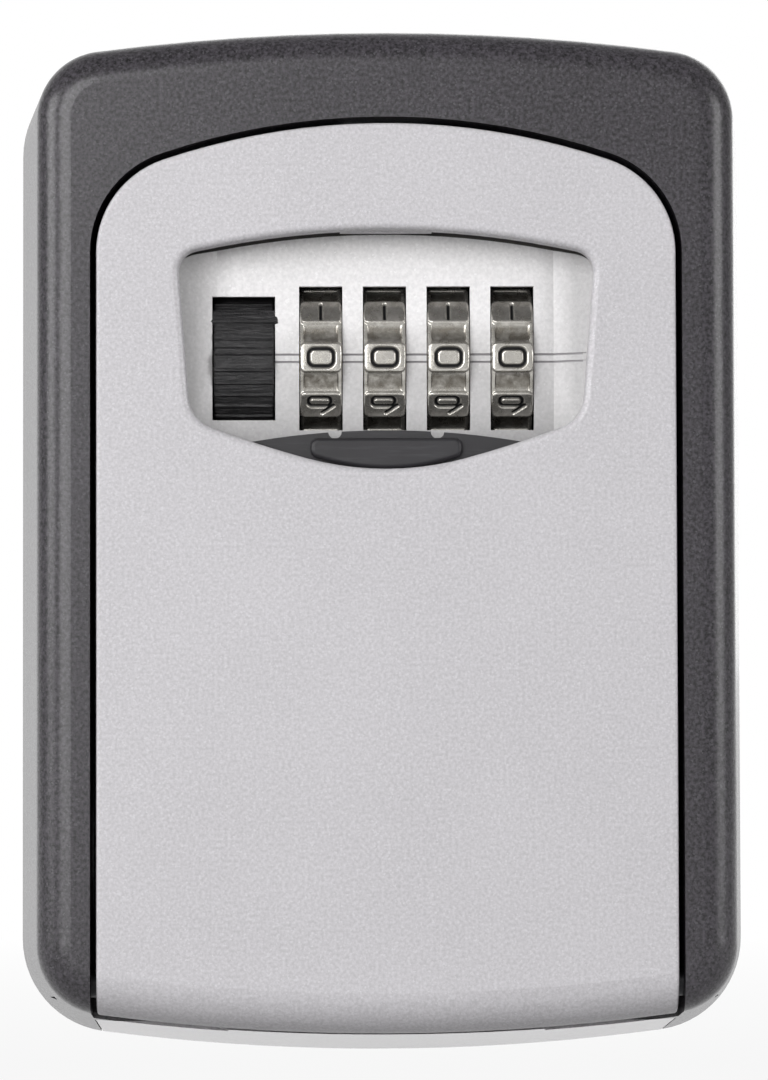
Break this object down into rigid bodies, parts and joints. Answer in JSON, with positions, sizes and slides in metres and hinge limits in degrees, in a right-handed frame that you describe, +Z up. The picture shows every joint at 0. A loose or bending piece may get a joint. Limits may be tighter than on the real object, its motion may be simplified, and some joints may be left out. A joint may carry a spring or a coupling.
{
  "type": "wall-mounted combination key safe",
  "caption": "Wall-mounted key safe with drop-down door, sliding shutter, number wheels and opening lever.",
  "frame": {"origin": "centre of the flat back face that rests on the wall", "axes": "+X to the right of someone facing the door, +Y into the wall, +Z up; the door faces -Y"},
  "size_m": [0.085, 0.04, 0.119],
  "materials": {
    "case_paint": "fine textured powder coat",
    "silver_paint": "satin silver paint with fine sparkle",
    "dial_plate_paint": "satin silver paint",
    "wheel_chrome": "polished",
    "lever_plastic": "moulded black, satin",
    "shutter_plastic": "moulded dark grey, satin",
    "cover_plastic": "moulded black, fine grain",
    "pin_steel": "ground",
    "screw_steel": "zinc plated",
    "latch_steel": "zinc plated, stamped",
    "spring_steel": "spring wire and strip",
    "brass_inner": "turned"
  },
  "bodies": {
    "case": {"case_shell": "case_paint", "floor_plate": "silver_paint", "floor_screws": "screw_steel"},
    "door": {"door_panel": "silver_paint", "hinge_pin_left": "pin_steel", "hinge_pin_right": "pin_steel", "lock_carrier": "dial_plate_paint", "rear_cover": "cover_plastic", "cover_screws": "screw_steel", "detent_leaf": "spring_steel"},
    "shutter": {"shutter": "shutter_plastic"},
    "lever": {"opening_lever": "lever_plastic"},
    "latch": {"latch_slider": "latch_steel", "latch_spring": "spring_steel"},
    "reset_slide": {"wheel_shaft": "pin_steel", "shaft_spacers": "brass_inner", "shaft_clip": "spring_steel", "reset_lever": "latch_steel"},
    "wheel_1": {"wheel_1": "wheel_chrome"},
    "wheel_2": {"wheel_2": "wheel_chrome"},
    "wheel_3": {"wheel_3": "wheel_chrome"},
    "wheel_4": {"wheel_4": "wheel_chrome"},
    "disc_1": {"code_disc_1": "brass_inner"},
    "disc_2": {"code_disc_2": "brass_inner"},
    "disc_3": {"code_disc_3": "brass_inner"},
    "disc_4": {"code_disc_4": "brass_inner"}
  },
  "joints": [
    {"name": "door_hinge", "type": "hinge", "parent": "case", "child": "door", "pos_m": [0, -0.0348, -0.05071], "axis": [1, 0, 0], "range_deg": [0, 95]},
    {"name": "shutter_slide", "type": "slide", "parent": "door", "child": "shutter", "axis": [0, 0, 1], "range_m": [0, 0.0222]},
    {"name": "lever_press", "type": "hinge", "parent": "door", "child": "lever", "pos_m": [0, -0.02655, 0.0196], "axis": [-1, 0, 0], "range_deg": [-40, 0]},
    {"name": "latch_slide", "type": "slide", "parent": "door", "child": "latch", "axis": [0, 0, 1], "range_m": [-0.00257, 0], "stiffness_N_per_m": 150, "springref_m": 0.004, "deforming": ["latch_spring"]},
    {"name": "reset_slide", "type": "slide", "parent": "door", "child": "reset_slide", "axis": [-1, 0, 0], "range_m": [0, 0.0012]},
    {"name": "wheel_1_turn", "type": "hinge", "parent": "door", "child": "wheel_1", "pos_m": [0, -0.02655, 0.0196], "axis": [1, 0, 0], "continuous": true},
    {"name": "wheel_2_turn", "type": "hinge", "parent": "door", "child": "wheel_2", "pos_m": [0, -0.02655, 0.0196], "axis": [1, 0, 0], "continuous": true},
    {"name": "wheel_3_turn", "type": "hinge", "parent": "door", "child": "wheel_3", "pos_m": [0, -0.02655, 0.0196], "axis": [1, 0, 0], "continuous": true},
    {"name": "wheel_4_turn", "type": "hinge", "parent": "door", "child": "wheel_4", "pos_m": [0, -0.02655, 0.0196], "axis": [1, 0, 0], "continuous": true},
    {"name": "disc_1_turn", "type": "hinge", "parent": "reset_slide", "child": "disc_1", "pos_m": [0, -0.02655, 0.0196], "axis": [1, 0, 0], "continuous": true},
    {"name": "disc_2_turn", "type": "hinge", "parent": "reset_slide", "child": "disc_2", "pos_m": [0, -0.02655, 0.0196], "axis": [1, 0, 0], "continuous": true},
    {"name": "disc_3_turn", "type": "hinge", "parent": "reset_slide", "child": "disc_3", "pos_m": [0, -0.02655, 0.0196], "axis": [1, 0, 0], "continuous": true},
    {"name": "disc_4_turn", "type": "hinge", "parent": "reset_slide", "child": "disc_4", "pos_m": [0, -0.02655, 0.0196], "axis": [1, 0, 0], "continuous": true}
  ],
  "couplings": [
    {"joint": "lever_press", "follows": "latch_slide", "rad_per_m": 271.52},
    {"joint": "disc_1_turn", "follows": "wheel_1_turn", "ratio": 1},
    {"joint": "disc_2_turn", "follows": "wheel_2_turn", "ratio": 1},
    {"joint": "disc_3_turn", "follows": "wheel_3_turn", "ratio": 1},
    {"joint": "disc_4_turn", "follows": "wheel_4_turn", "ratio": 1}
  ]
}
